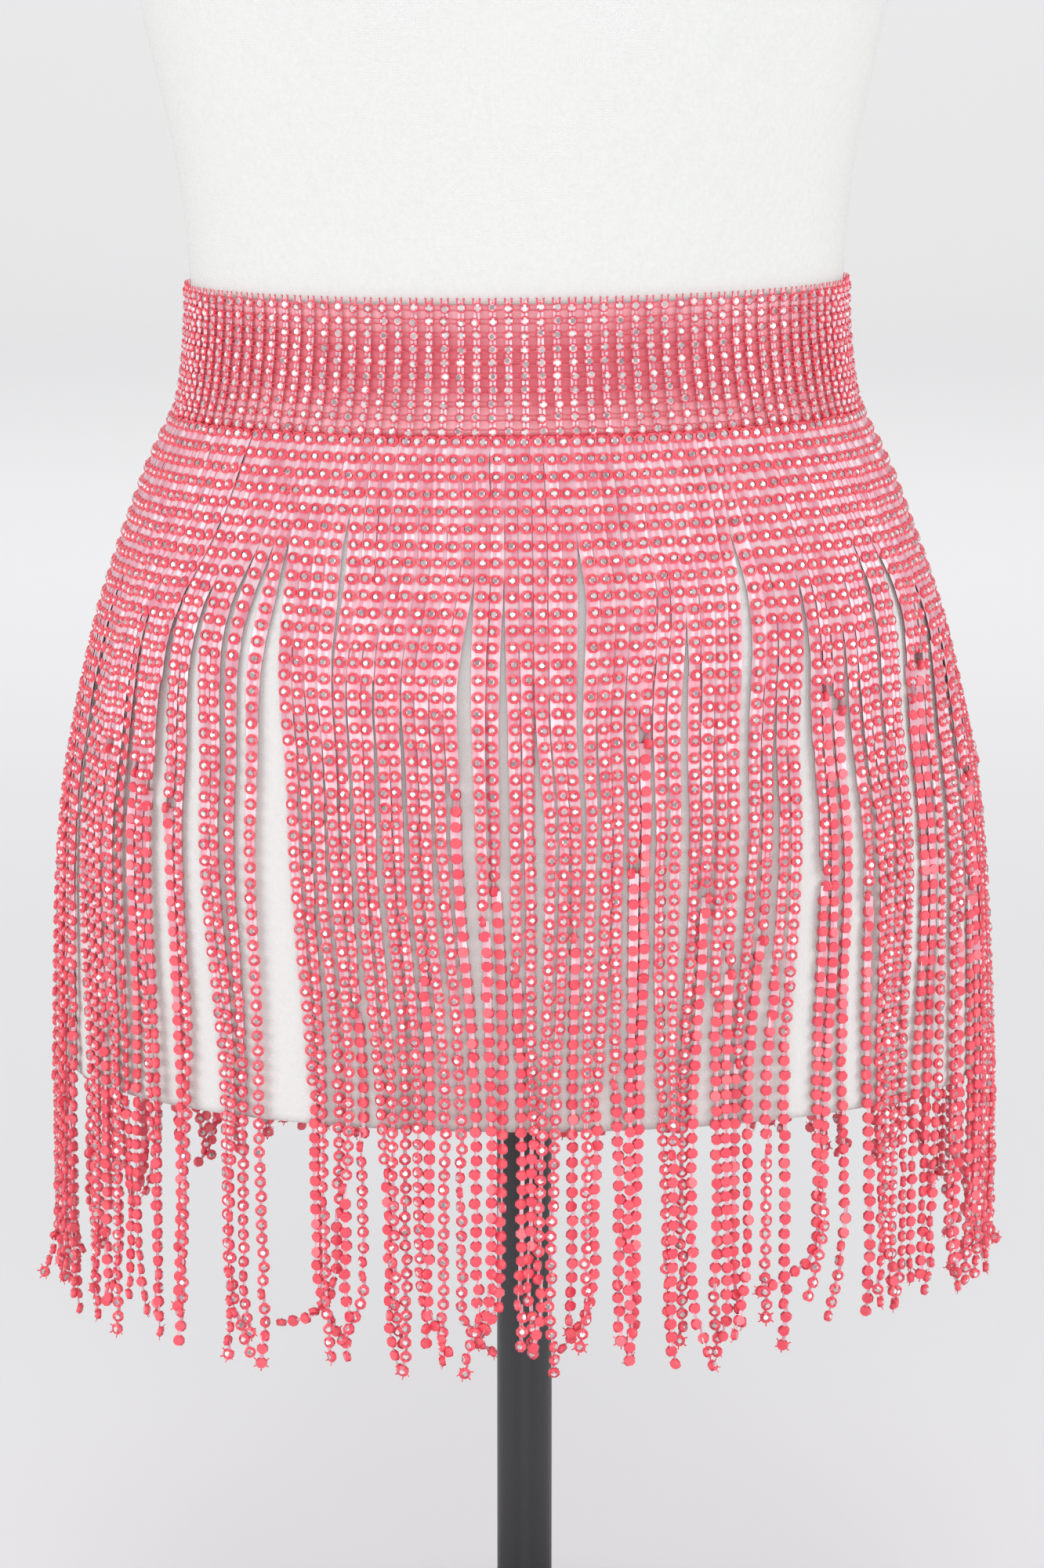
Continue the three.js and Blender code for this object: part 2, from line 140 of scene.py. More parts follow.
def form_section(drop):
    """Half width, front depth and back depth of the form, smooth through the table's rows."""
    rows, values = FORM_TABLE[:, 0], FORM_TABLE[:, 1:]
    last = len(rows) - 1
    below = np.minimum(np.arange(last + 1) + 1, last)
    above = np.maximum(np.arange(last + 1) - 1, 0)
    slopes = (values[below] - values[above]) / (rows[below] - rows[above])[:, None]
    d = np.clip(np.atleast_1d(np.asarray(drop, dtype=float)), rows[0], FORM_BOTTOM)
    k = np.clip(np.searchsorted(rows, d, side="right") - 1, 0, last - 1)
    span = (rows[k + 1] - rows[k])[:, None]
    t = (d[:, None] - rows[k][:, None]) / span
    return (values[k] * (1 + 2 * t) * (1 - t) ** 2 + slopes[k] * span * t * (1 - t) ** 2
            + values[k + 1] * t * t * (3 - 2 * t) + slopes[k + 1] * span * t * t * (t - 1))


def section_point(section, angle):
    """Points and outward normals on the form's outline at an angle; 0 is the front."""
    depth = np.where(np.cos(angle) > 0, section[..., 1], section[..., 2])
    x = section[..., 0] * np.sin(angle)
    y = -depth * np.cos(angle)
    normal = np.stack([x / section[..., 0] ** 2, y / depth ** 2], axis=-1)
    normal /= np.linalg.norm(normal, axis=-1, keepdims=True)
    return x, y, normal


def lean_at(drop):
    """How far the form's middle has moved along X; it stands upright on its lower edge."""
    return -FORM_LEAN * np.maximum(0.0, FORM_BOTTOM - drop)


def ring_grid_faces(rings, around, closed=True):
    """Quads between rings of corners that run round the object, wound to face outwards."""
    columns = around if closed else around - 1
    faces = []
    for j in range(rings - 1):
        for i in range(columns):
            m = (i + 1) % around
            faces.append((j * around + i, (j + 1) * around + i, (j + 1) * around + m, j * around + m))
    return faces


def build_form():
    """Corners and faces of the form, from its flat neck down to the hole for the pole."""
    drops = np.unique(np.concatenate([np.linspace(*stretch) for stretch in FORM_RINGS]))
    angles = -np.pi + 2 * np.pi * np.arange(FORM_AROUND) / FORM_AROUND
    rings = []

    def add_ring(drop, inset=0.0):
        x, y, normal = section_point(np.repeat(form_section(drop), FORM_AROUND, axis=0), angles)
        x = x + lean_at(drop) - normal[:, 0] * inset
        rings.append(np.stack([x, y - normal[:, 1] * inset, np.full_like(x, BELT_TOP - drop)], axis=1))

    for drop in drops:
        add_ring(drop)
    for turn in np.radians(FORM_EDGE_TURNS):
        sunk = FORM_EDGE_RADIUS * math.sin(turn)
        add_ring(FORM_BOTTOM - FORM_EDGE_RADIUS + sunk, FORM_EDGE_RADIUS * (1 - math.cos(turn)))
    hole = np.stack([POLE_HOLE * np.sin(angles), -POLE_HOLE * np.cos(angles)], axis=1)
    for drop in (FORM_BOTTOM, FORM_BOTTOM - POLE_HOLE_DEPTH):
        rings.append(np.column_stack([hole, np.full(FORM_AROUND, BELT_TOP - drop)]))
    corners = np.concatenate(rings)
    faces = ring_grid_faces(len(rings), FORM_AROUND)
    faces.append(tuple(range(FORM_AROUND)))
    faces.append(tuple(range(len(corners) - FORM_AROUND, len(corners)))[::-1])
    return corners, faces


# Plain woven linen: matt, with slubs in the thread that darken it a little here and there.
linen, linen_shader = new_material("woven_linen", {"Roughness": 0.92, "Sheen Weight": 0.15})
linen_place = add_node(linen, "ShaderNodeTexCoord")
linen_weave = add_node(linen, "ShaderNodeMath", {"operation": "ADD"})
for term, way in zip(linen_weave.inputs, "ZX"):
    linen_threads = add_node(linen, "ShaderNodeTexWave", {
        "wave_type": "BANDS", "bands_direction": way, "Scale": WAVE_SPACING / (LINEN_THREAD * MM),
        "Distortion": 1.2, "Detail": 2.0, "Detail Scale": 1.5,
    }, {"Vector": (linen_place, "Object")})
    linen.node_tree.links.new(linen_threads.outputs["Fac"], term)
linen_slub = add_node(linen, "ShaderNodeTexNoise", {
    "Scale": 600.0, "Detail": 4.0, "Roughness": 0.7,
}, {"Vector": (linen_place, "Object")})
linen_tone = add_node(linen, "ShaderNodeMixRGB", {
    "Color1": linear(LINEN_CREAM), "Color2": linear(LINEN_SHADE),
}, {"Fac": (linen_slub, "Fac")})
linen_bump = add_node(linen, "ShaderNodeBump", {
    "Strength": 0.4, "Distance": 0.2 * MM,
}, {"Height": (linen_weave, "Value")})
feed(linen, linen_shader, "Base Color", linen_tone, "Color")
feed(linen, linen_shader, "Normal", linen_bump, "Normal")

form_corners, form_faces = build_form()
form = mesh_piece("form_cover", form_corners, form_faces, linen)
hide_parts("form_torso")

# Pole and base
# A round steel tube and a flat steel disc with a welded boss, powder coated in satin black, which
# gives a fine orange peel and a soft highlight.
BLACK_COAT = "252529"
BLACK_WORN = "2E2E32"
PEEL_SIZE = 1.2

black_coat, black_shader = new_material("satin_black_powder_coat", {"Roughness": 0.42})
black_place = add_node(black_coat, "ShaderNodeTexCoord")
black_peel = add_node(black_coat, "ShaderNodeTexNoise", {
    "Scale": 1 / (PEEL_SIZE * MM), "Detail": 2.0,
}, {"Vector": (black_place, "Object")})
black_cloud = add_node(black_coat, "ShaderNodeTexNoise", {
    "Scale": 18.0, "Detail": 3.0,
}, {"Vector": (black_place, "Object")})
black_tone = add_node(black_coat, "ShaderNodeMixRGB", {
    "Color1": linear(BLACK_COAT), "Color2": linear(BLACK_WORN),
}, {"Fac": (black_cloud, "Fac")})
black_bump = add_node(black_coat, "ShaderNodeBump", {
    "Strength": 0.2, "Distance": 0.05 * MM,
}, {"Height": (black_peel, "Fac")})
feed(black_coat, black_shader, "Base Color", black_tone, "Color")
feed(black_coat, black_shader, "Normal", black_bump, "Normal")

for node_name in ("pole", "base"):
    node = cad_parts[node_name]
    node.data.materials.clear()
    node.data.materials.append(black_coat)

# Where the belt lies
# The belt is laid round the form by its own length. A place on it is a share of the way round from
# the middle of the back, by -X, the front and +X, and a drop below its top edge.
ARC_STEPS = 240
ARC_ANGLES = -np.pi + 2 * np.pi * np.arange(ARC_STEPS + 1) / ARC_STEPS


def arc_lengths(section):
    """How long each section's outline is from the middle of the back to each of the angles."""
    x, y, _ = section_point(section[:, None, :], ARC_ANGLES[None, :])
    steps = np.hypot(np.diff(x, axis=1), np.diff(y, axis=1))
    return np.concatenate([np.zeros((len(section), 1)), np.cumsum(steps, axis=1)], axis=1)


def girth(drop, outward):
    """The way round the form at a drop, a little outside it."""
    return arc_lengths(form_section(drop))[0, -1] + 2 * math.pi * outward


def locate(share, drop):
    """Points and normals on the upright form at a share of the way round it."""
    section = form_section(drop)
    lengths = arc_lengths(section)
    target = np.clip(share, 0, 1) * lengths[:, -1]
    i = np.clip((lengths < target[:, None]).sum(axis=1), 1, ARC_STEPS)
    row = np.arange(len(i))
    part = (target - lengths[row, i - 1]) / (lengths[row, i] - lengths[row, i - 1])
    return section_point(section, -np.pi + 2 * np.pi * (i - 1 + part) / ARC_STEPS)


def on_form(share, drop, outward):
    """Points on the belt, their direction along it and their direction out from the form."""
    share, drop, outward = np.broadcast_arrays(
        *(np.atleast_1d(np.asarray(v, dtype=float)) for v in (share, drop, outward)))
    rise = FORM_LEAN * locate(share, drop)[0]
    x, y, normal = locate(share, drop - rise)
    x = x + lean_at(drop)
    out = np.column_stack([normal, np.zeros(len(x))])
    right = np.column_stack([-normal[:, 1], normal[:, 0], np.zeros(len(x))])
    points = np.column_stack([x, y, BELT_TOP - drop + rise])
    return points + out * outward[:, None], right, out


# Waistband net
# A strip of coral nylon net behind the stones, which the settings are pressed on to. It shows in
# the windows between them, paler towards its top and bottom edges and in patches.
BAND_DEPTH = 48.0
BAND_COLUMNS = 120
BAND_ROWS = 10
ROW_PITCH = 5.0
FIRST_ROW_DROP = 1.7
CLASP_EDGE = 3.5
NET_OUTWARD = 0.9
NET_TOP = 0.6
NET_OVERHANG = 0.4
NET_COLUMNS = 240
NET_ROWS = 12
NET_CORAL = "DD6D7B"
NET_PALE = "F4B4BD"
NET_MESH = 1.2


def band_share(column_fraction, drop, outward):
    """A share of the band's length, clasp to clasp, as a share of the way round the form."""
    start = CLASP_EDGE / girth(drop, outward)
    return start + (1 - 2 * start) * np.asarray(column_fraction)


coral_net, net_shader = new_material("coral_nylon_net", {"Roughness": 0.6, "Sheen Weight": 0.2})
net_place = add_node(coral_net, "ShaderNodeTexCoord")
net_holes = add_node(coral_net, "ShaderNodeTexVoronoi", {
    "Scale": 1 / (NET_MESH * MM), "feature": "DISTANCE_TO_EDGE",
}, {"Vector": (net_place, "Object")})
net_height = add_node(coral_net, "ShaderNodeSeparateXYZ", links={"Vector": (net_place, "Object")})
net_drop = add_node(coral_net, "ShaderNodeMapRange", {
    "From Min": (BELT_TOP - BAND_DEPTH) * MM, "From Max": BELT_TOP * MM, "To Min": -1.0, "To Max": 1.0,
}, {"Value": (net_height, "Z")})
net_edge = add_node(coral_net, "ShaderNodeMath", {"operation": "ABSOLUTE"})
coral_net.node_tree.links.new(net_drop.outputs["Result"], net_edge.inputs[0])
net_cloud = add_node(coral_net, "ShaderNodeTexNoise", {
    "Scale": 40.0, "Detail": 3.0,
}, {"Vector": (net_place, "Object")})
# how pale the net is drawn: more towards its top and bottom edges, in patches of noise
net_edge_patches = add_node(coral_net, "ShaderNodeMath", {"operation": "ADD"})
coral_net.node_tree.links.new(net_edge.outputs["Value"], net_edge_patches.inputs[0])
coral_net.node_tree.links.new(net_cloud.outputs["Fac"], net_edge_patches.inputs[1])
net_paleness = add_node(coral_net, "ShaderNodeMapRange", {
    "From Min": 0.85, "From Max": 1.5,
}, {"Value": (net_edge_patches, "Value")})
net_tone = add_node(coral_net, "ShaderNodeMixRGB", {
    "Color1": linear(NET_CORAL), "Color2": linear(NET_PALE),
}, {"Fac": (net_paleness, "Result")})
net_bump = add_node(coral_net, "ShaderNodeBump", {
    "Strength": 0.5, "Distance": 0.15 * MM,
}, {"Height": (net_holes, "Distance")})
feed(coral_net, net_shader, "Base Color", net_tone, "Color")
feed(coral_net, net_shader, "Normal", net_bump, "Normal")


def band_strip(name, drops, outward, material):
    """A strip round the form from one side of the clasp to the other."""
    rings = []
    for drop in drops:
        share = band_share(np.arange(NET_COLUMNS + 1) / NET_COLUMNS, drop, outward)
        rings.append(on_form(share, drop, outward)[0])
    faces = ring_grid_faces(len(rings), NET_COLUMNS + 1, closed=False)
    return mesh_piece(name, np.concatenate(rings), faces, material)


net_drops = np.linspace(NET_TOP, BAND_DEPTH + NET_OVERHANG, NET_ROWS)
net = band_strip("waistband_net", net_drops, NET_OUTWARD, coral_net)

# Settings and stones
# Each stone is a clear faceted crystal with foil behind it, in a pressed brass cup that is
# lacquered coral, with four claws bent over the stone. Short bars join cup to cup.
CORAL = "F05564"
CORAL_DEEP = "E24257"
NET_BAR = "D76172"
NET_BAR_PALE = "EC8593"
# pink of the bars, and the nearly white tone that is painted highlight on them
BAR_PINK = "D48A9B"
BAR_HIGHLIGHT_WHITE = "DFC4CC"
# crown facets: white tones are painted glints, grey-brown tones painted reflection and painted shade
CROWN_PAINTED_GLINT = "EDD3D8"
CROWN_SHADE = "A3747D"
# table: foil grey, up to a white that is painted glare
TABLE_PAINTED_GLARE = "FBF3F2"
TABLE_GREY = "98858A"
SIDES = 8
CLAW_COUNT = 4
CLAW_WIDTH = 0.3
# how far a claw's foot is in from the rim, and how far its knee and its tip are outside the stone
# and above the setting
CLAW_FOOT_IN = 0.1
CLAW_KNEE = (0.1, 0.3)
CLAW_TIP = (-0.5, 0.32)
# radii of the cup's back, its rim, the stone and the stone's table, and the height of the setting
FRINGE_SETTING = (1.88, 2.26, 1.32, 0.8, 2.1)
HEADING_SETTING = (1.95, 2.28, 1.5, 0.85, 2.1)
BAND_SETTING = (1.5, 2.0, 1.55, 0.85, 1.9)
LIP_DROP = 0.45
LIP_LAP = 0.05
GIRDLE_DROP = 0.1
STONE_RISE = 0.45
SLOT_CUP, SLOT_NET_BAR, SLOT_BAR, SLOT_CROWN, SLOT_TABLE = 0, 1, 2, 3, 4

# Lacquer over brass: saturated coral under a clear skin, a little deeper on some cups than others.
coral, coral_shader = new_material("coral_lacquer_on_brass", {
    "Roughness": 0.36, "Coat Weight": 0.35, "Coat Roughness": 0.15,
})
coral_each = add_node(coral, "ShaderNodeNewGeometry")
coral_tone = add_node(coral, "ShaderNodeMixRGB", {
    "Color1": linear(CORAL), "Color2": linear(CORAL_DEEP),
}, {"Fac": (coral_each, "Random Per Island")})
feed(coral, coral_shader, "Base Color", coral_tone, "Color")

# The bars along the waistband are thin, so their lacquer looks paler than the cups'.
net_bar, net_bar_shader = new_material("thin_coral_lacquer_bar", {"Roughness": 0.4})
net_bar_each = add_node(net_bar, "ShaderNodeNewGeometry")
net_bar_tone = add_node(net_bar, "ShaderNodeMixRGB", {
    "Color1": linear(NET_BAR), "Color2": linear(NET_BAR_PALE),
}, {"Fac": (net_bar_each, "Random Per Island")})
feed(net_bar, net_bar_shader, "Base Color", net_bar_tone, "Color")

# The links of the fringe and the bars down the waistband are pink lacquer, each in a random tone
# up to nearly white; the whiter tones are painted highlight.
bar_pink, bar_shader = new_material("pink_lacquer_bar_painted_highlight", {"Roughness": 0.3, "Metallic": 0.15})
bar_each = add_node(bar_pink, "ShaderNodeNewGeometry")
bar_tone = add_node(bar_pink, "ShaderNodeMixRGB", {
    "Color1": linear(BAR_PINK), "Color2": linear(BAR_HIGHLIGHT_WHITE),
}, {"Fac": (bar_each, "Random Per Island")})
feed(bar_pink, bar_shader, "Base Color", bar_tone, "Color")

# Foil-backed crystal. Each facet of the crown takes a random tone from white to grey-brown:
# painted reflections, and painted shade in the gap round the stone's edge. The table shows the
# foil, and its random tone from grey to white is painted reflection.
crown, crown_shader = new_material("foiled_crystal_crown", {"Roughness": 0.15, "Metallic": 0.2})
crown_each = add_node(crown, "ShaderNodeNewGeometry")
crown_painted_reflection = add_node(crown, "ShaderNodeMixRGB", {
    "Color1": linear(CROWN_PAINTED_GLINT), "Color2": linear(CROWN_SHADE),
}, {"Fac": (crown_each, "Random Per Island")})
feed(crown, crown_shader, "Base Color", crown_painted_reflection, "Color")

table, table_shader = new_material("foiled_crystal_table", {"Roughness": 0.12, "Metallic": 0.3})
table_each = add_node(table, "ShaderNodeNewGeometry")
table_painted_reflection = add_node(table, "ShaderNodeMixRGB", {
    "Color1": linear(TABLE_GREY), "Color2": linear(TABLE_PAINTED_GLARE),
}, {"Fac": (table_each, "Random Per Island")})
feed(table, table_shader, "Base Color", table_painted_reflection, "Color")

STONE_FINISHES = [coral, net_bar, bar_pink, crown, table]


def ring_corners(radius, height):
    """A ring round the outward axis; corners are places to the right, outwards and upwards."""
    angles = [2 * math.pi * (i + 0.5) / SIDES for i in range(SIDES)]
    return [(radius * math.cos(a), height, radius * math.sin(a)) for a in angles]


class Pattern:
    """Corners, triangles, finish and smoothness of one small part, ready to be repeated."""

    def __init__(self):
        self.corners, self.faces, self.slots, self.smooth = [], [], [], []

    def add(self, corners):
        """Adds corners and returns their numbers."""
        first = len(self.corners)
        self.corners.extend(tuple(corner) for corner in corners)
        return list(range(first, len(self.corners)))

    def face(self, a, b, c, slot, smooth=False):
        """Adds a triangle between three corners, in one of the finishes."""
        self.faces.append((a, b, c))
        self.slots.append(slot)
        self.smooth.append(smooth)

    def between(self, inner, outer, slot, smooth=False):
        """A closed band of triangles from one ring of corners to another."""
        for i in range(len(inner)):
            m = (i + 1) % len(inner)
            self.face(inner[i], outer[i], outer[m], slot, smooth)
            self.face(inner[i], outer[m], inner[m], slot, smooth)

    def disc(self, ring, slot):
        """Fills a ring of corners."""
        for i in range(1, len(ring) - 1):
            self.face(ring[0], ring[i], ring[i + 1], slot)

    def cup(self, setting):
        """The pressed cup: a flat back, a wall that widens to the rim, and a lip over the stone."""
        back_radius, rim_radius, stone_radius, _, height = setting
        back = self.add(ring_corners(back_radius, 0.0))
        rim = self.add(ring_corners(rim_radius, height - LIP_DROP))
        lip = self.add(ring_corners(stone_radius - LIP_LAP, height))
        self.disc(back[::-1], SLOT_CUP)
        self.between(rim, back, SLOT_CUP, smooth=True)
        self.between(lip, rim, SLOT_CUP)

    def stone(self, setting):
        """The flat table, and the crown in single facets that are islands of their own."""
        _, _, stone_radius, table_radius, height = setting
        flat = ring_corners(table_radius, height - GIRDLE_DROP + STONE_RISE)
        girdle = ring_corners(stone_radius, height - GIRDLE_DROP)
        self.disc(self.add(flat), SLOT_TABLE)
        for i in range(SIDES):
            m = (i + 1) % SIDES
            a, b, c, d = self.add((flat[i], girdle[i], girdle[m], flat[m]))
            self.face(a, b, c, SLOT_CROWN)
            self.face(a, c, d, SLOT_CROWN)

    def claws(self, setting):
        """Four spikes that rise from the rim and bend over the stone."""
        _, rim_radius, stone_radius, _, height = setting
        rise = np.array((0.0, 1.0, 0.0))
        for i in range(CLAW_COUNT):
            a = (i + 0.5) * 2 * math.pi / CLAW_COUNT
            ray = np.array((math.cos(a), 0.0, math.sin(a)))
            across = np.array((-math.sin(a), 0.0, math.cos(a))) * CLAW_WIDTH
            foot = ray * (rim_radius - CLAW_FOOT_IN) + rise * (height - LIP_DROP)
            knee = ray * (stone_radius + CLAW_KNEE[0]) + rise * (height + CLAW_KNEE[1])
            tip = ray * (stone_radius + CLAW_TIP[0]) + rise * (height + CLAW_TIP[1])
            left, right, top, end = self.add((foot - across, foot + across, knee, tip))
            self.face(left, right, end, SLOT_CUP)
            self.face(right, top, end, SLOT_CUP)
            self.face(top, left, end, SLOT_CUP)

    def bar(self, start, end, half_width, rise, slot):
        """A three-sided bar between two points, flat at the back."""
        start, end = np.array(start), np.array(end)
        along = (end - start) / np.linalg.norm(end - start)
        across = np.array((-along[2], 0.0, along[0])) * half_width
        ridge = np.array((0.0, rise, 0.0))
        first, last = (self.add((p + across, p + ridge, p - across)) for p in (start, end))
        self.between(first, last, slot)


def joined_mesh(name, batches):
    """One mesh of patterns, each set at many places with three directions of its own."""
    spots, triangles, slots, smooth = [], [], [], []
    taken = 0
    for pattern, places, sides, outs, ups in batches:
        count = len(places)
        right, out, up = (np.array(pattern.corners)[None, :, i, None] for i in range(3))
        spots.append((places[:, None, :] + right * sides[:, None, :] + out * outs[:, None, :]
                      + up * ups[:, None, :]).reshape(-1, 3))
        shifts = taken + np.arange(count) * len(pattern.corners)
        triangles.append((np.array(pattern.faces)[None, :, :] + shifts[:, None, None]).reshape(-1, 3))
        slots.append(np.tile(pattern.slots, count))
        smooth.append(np.tile(pattern.smooth, count))
        taken += count * len(pattern.corners)
    corners, loops = np.concatenate(spots), np.concatenate(triangles)
    mesh = bpy.data.meshes.new(name)
    mesh.vertices.add(len(corners))
    mesh.vertices.foreach_set("co", (corners.ravel() * MM).astype(np.float32))
    mesh.loops.add(loops.size)
    mesh.loops.foreach_set("vertex_index", loops.ravel().astype(np.int32))
    mesh.polygons.add(len(loops))
    mesh.polygons.foreach_set("loop_start", (np.arange(len(loops)) * 3).astype(np.int32))
    for material in STONE_FINISHES:
        mesh.materials.append(material)
    mesh.polygons.foreach_set("material_index", np.concatenate(slots).astype(np.int32))
    mesh.polygons.foreach_set("use_smooth", np.concatenate(smooth))
    mesh.update(calc_edges=True)
    mesh.validate()
    piece = bpy.data.objects.new(name, mesh)
    bpy.context.scene.collection.objects.link(piece)
    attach(piece, "root")
    return piece


def pattern_of(setting, *parts):
    """A pattern made of some parts of a setting."""
    pattern = Pattern()
    for part in parts:
        part(pattern, setting)
    return pattern


def directions(ups, faces):
    """Square directions from rough ones: to the right, outwards and upwards."""
    faces = faces / np.linalg.norm(faces, axis=1, keepdims=True)
    ups = ups - faces * (ups * faces).sum(axis=1, keepdims=True)
    ups /= np.linalg.norm(ups, axis=1, keepdims=True)
    return np.cross(ups, faces), faces, ups


# Waistband stones
# Ten rows of small stones in an open square mesh. Pairs of thin bars run along and down between
# the cups, and above each cup of the top row two of them end in little forked claws.
BAND_OUTWARD = 1.0
BAND_STONES_OUTWARD = 2.0
# each pair of bars: how far from the cup's middle, half the length and half the width
ALONG_BAR = (0.87, 3.15, 0.2)
DOWN_BAR = (0.65, 2.6, 0.5)
BAR_HEIGHT = 1.1
BAR_RISE = 0.4
FORK_OFFSET = 1.25
FORK_FOOT = 1.6
FORK_NECK = 3.0
FORK_TIP = 3.7
FORK_SPREAD = 0.35
FORK_STEM_WIDTH = 0.28
FORK_CLAW_WIDTH = 0.18
FORK_CLAW_RISE = 0.3
FORK_CLAW_LIFT = 0.2
# how uneven the hand-set stones are: along the belt, down it, and their tilt in radians
BAND_SEED = 7
UNEVEN_ALONG = 0.16
UNEVEN_DOWN = 0.14
UNEVEN_TILT = 0.11

band_bars = Pattern()
for side in (-1, 1):
    offset, reach, half_width = ALONG_BAR
    ends = [(end * reach, BAR_HEIGHT, side * offset) for end in (-1, 1)]
    band_bars.bar(*ends, half_width, BAR_RISE, SLOT_NET_BAR)
    offset, reach, half_width = DOWN_BAR
    ends = [(side * offset, BAR_HEIGHT, end * reach) for end in (-1, 1)]
    band_bars.bar(*ends, half_width, BAR_RISE, SLOT_BAR)

fork = Pattern()
for side in (-1, 1):
    middle = side * FORK_OFFSET
    neck = (middle, BAR_HEIGHT, FORK_NECK)
    fork.bar((middle, BAR_HEIGHT, FORK_FOOT), neck, FORK_STEM_WIDTH, BAR_RISE, SLOT_CUP)
    for spread in (-FORK_SPREAD, FORK_SPREAD):
        tip = (middle + spread, BAR_HEIGHT + FORK_CLAW_LIFT, FORK_TIP)
        fork.bar(neck, tip, FORK_CLAW_WIDTH, FORK_CLAW_RISE, SLOT_CUP)

rng = np.random.default_rng(BAND_SEED)
columns, rows = (grid.ravel() for grid in np.meshgrid(np.arange(BAND_COLUMNS), np.arange(BAND_ROWS)))
band_drops = FIRST_ROW_DROP + rows * ROW_PITCH
column_middles = (np.arange(BAND_COLUMNS) + 0.5) / BAND_COLUMNS
band_shares = np.concatenate([
    band_share(column_middles, FIRST_ROW_DROP + row * ROW_PITCH, BAND_STONES_OUTWARD)
    for row in range(BAND_ROWS)])
shift_along = rng.normal(0, UNEVEN_ALONG, len(rows))
shift_down = rng.normal(0, UNEVEN_DOWN, len(rows))
mesh_places, mesh_right, _ = on_form(band_shares, band_drops, BAND_OUTWARD)
mesh_ups = mesh_places - on_form(band_shares, band_drops + ROW_PITCH, BAND_OUTWARD)[0]
mesh_sides, mesh_faces, mesh_ups = directions(mesh_ups, np.cross(mesh_right, mesh_ups))
stone_places = mesh_places + mesh_sides * shift_along[:, None] + mesh_ups * shift_down[:, None]
tilt = rng.normal(0, UNEVEN_TILT, (2, len(rows), 1))
stone_frame = directions(mesh_ups, mesh_faces + mesh_sides * tilt[0] + mesh_ups * tilt[1])
top = rows == 0
band_stone = pattern_of(BAND_SETTING, Pattern.cup, Pattern.stone, Pattern.claws)
band = joined_mesh("waistband_stones", [
    (band_stone, stone_places, *stone_frame),
    (band_bars, mesh_places, mesh_sides, mesh_faces, mesh_ups),
    (fork, mesh_places[top], mesh_sides[top], mesh_faces[top], mesh_ups[top]),
])
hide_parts("waistband")

# Fringe
# Strands of single stones, joined by broad paired links that narrow towards the hem, hang from a
# row of larger stones on a lacquered strip. Where the form widens they cling in groups and part to
# show the linen. Some turn their backs, and many end in a star of open claws.
STRAND_PITCH = 4.85
HEADING_DROP = 50.3
HEADING_STRIP_DROPS = (47.6, 50.0, 52.4)
HEADING_STRIP_LIFT = 0.2
HEM_DROP = 392.0
BACK_HEM_DROP = 367.0
BACK_HEM_REACH = (0.5, 0.75)
HEM_VARIATION = 8.0
SHORT_RISE = 9.0
SHORT_REACH = (92, 102)
SHORT_END = (110, 124)
# how far the backs of the cups lie off the form: on the heading, on strands that face outwards
# below the drop where they have settled, and on stones that are turned round
HEADING_OUTWARD = 1.3
FACING_OUTWARD = 0.9
SETTLED_DROP = 62
STRAND_OUTWARD = 2.3
TURNED_DROP = 80
STONE_MIDDLE = 1.3
PANELS = (
    ("fringe_back_left", 26),
    ("fringe_side_left", 26),
    ("fringe_front_left", 24),
    ("fringe_front_right", 32),
    ("fringe_side_right", 24),
    ("fringe_back_right", 24),
)
PANEL_ENDS = np.cumsum([0] + [count for _, count in PANELS])
STRAND_COUNT = int(PANEL_ENDS[-1])
HALF_COUNT = STRAND_COUNT // 2
STAYS_OPEN = 999
# strand after the parting: where it opens, where it is full, its width, where it closes
PARTINGS = {
    50: (150, 180, 2, 300),
    56: (95, 200, 8, STAYS_OPEN),
    58: (80, 190, 10, STAYS_OPEN),
    60: (75, 115, 3, 260),
    61: (80, 120, 5, 300),
    62: (70, 200, 19, STAYS_OPEN),
    66: (65, 95, 3, 190),
    75: (90, 150, 7, 300),
    77: (90, 155, 3.5, 280),
    79: (145, 195, 4, 300),
    82: (80, 110, 3, 230),
    89: (100, 160, 4, 310),
    93: (65, 130, 5, 300),
    95: (150, 210, 3, STAYS_OPEN),
    97: (80, 230, 13, STAYS_OPEN),
    100: (95, 230, 7.5, STAYS_OPEN),
    103: (75, 120, 3, 260),
    105: (75, 130, 6.5, 380),
    108: (90, 150, 7, STAYS_OPEN),
    110: (110, 180, 8, STAYS_OPEN),
}
FRONT_REACH = (48, 112)
PARTING_SHARE = 0.36
PARTING_FADE = 120.0
BACK_OPENS = (75, 135)
BACK_OPENING = 90.0
BACK_WIDTH = (2, 9)
EVEN_SPREAD = 0.5
SEAM_SPREAD = 3.0
SPREAD_REACH = (48, 75)
PATH_STEP = 6.0
BEAD_PITCH_TOP = 6.2
BEAD_PITCH_LOW = 5.35
# a width over the pattern's own, then what is lost of it over stretches between two drops
CUP_WIDTHS = (1.26, (0.16, 90, 170), (0.05, 170, 260))
# the links are real, but drawn broadest near the heading so that their pale colour also fills the gaps
# between the rows of cups, standing for the pink-lit linen there: painted light
LINK_WIDTHS = (1.46, (0.62, 110, 230), (0.46, 240, 300))
LINK_OFFSET = 0.98
LINK_HALF_WIDTH = 0.98
LINK_HALF_LENGTH = 0.5
LINK_HEIGHT = 0.7
LINK_RISE = 0.4
LINK_FLATTER = 0.2
